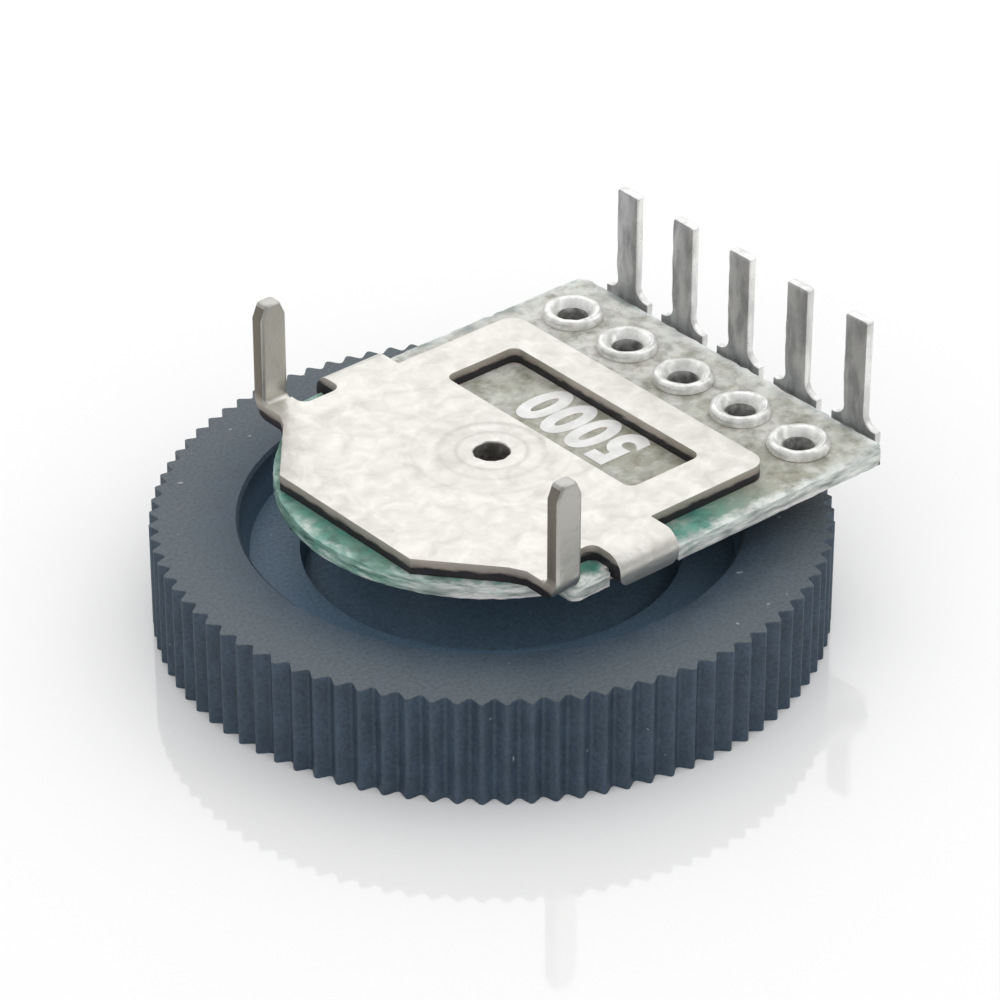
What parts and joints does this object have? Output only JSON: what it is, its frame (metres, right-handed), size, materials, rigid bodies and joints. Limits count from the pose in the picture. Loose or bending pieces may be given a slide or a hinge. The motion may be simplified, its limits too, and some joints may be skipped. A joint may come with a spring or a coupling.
{
  "type": "thumbwheel potentiometer",
  "caption": "Flat potentiometer turned by a serrated edge wheel, with a pressed metal bracket riveted over a small board, two bent legs and a row of solder pins.",
  "frame": {"origin": "on the wheel's axis, at the level of the wheel's outer face, on which the part lies", "axes": "+Z along the wheel's axis towards the bracket and the pin tips, +X from the axis to the row of pins, Y along the row with pin 1 at +Y"},
  "size_m": [0.016, 0.016, 0.0069],
  "materials": {
    "wheel_plastic": "moulded satin",
    "plated_steel": "dull nickel plate",
    "board_laminate": "pressed glass-epoxy",
    "rivet_metal": "nickel plate",
    "resistor_ink": "printed carbon",
    "silver_ink": "printed silver",
    "wiper_spring": "rolled spring strip",
    "tinned_terminal": "tin plate",
    "eyelet_metal": "bright tin plate"
  },
  "bodies": {
    "frame": {"mounting_bracket": "plated_steel", "resistor_board": "board_laminate", "pivot_rivet": "rivet_metal", "outer_resistor_track": "resistor_ink", "inner_resistor_track": "resistor_ink", "outer_collector_track": "silver_ink", "inner_collector_track": "silver_ink", "end_conductors": "silver_ink", "terminal_1": "tinned_terminal", "terminal_2": "tinned_terminal", "terminal_3": "tinned_terminal", "terminal_4": "tinned_terminal", "terminal_5": "tinned_terminal", "eyelet_1": "eyelet_metal", "eyelet_2": "eyelet_metal", "eyelet_3": "eyelet_metal", "eyelet_4": "eyelet_metal", "eyelet_5": "eyelet_metal"},
    "wheel": {"thumbwheel": "wheel_plastic", "outer_wiper": "wiper_spring", "inner_wiper": "wiper_spring"}
  },
  "joints": [
    {"name": "wheel_turn", "type": "hinge", "parent": "frame", "child": "wheel", "pos_m": [0, 0, 0], "axis": [0, 0, 1], "range_deg": [-15, 215]}
  ]
}
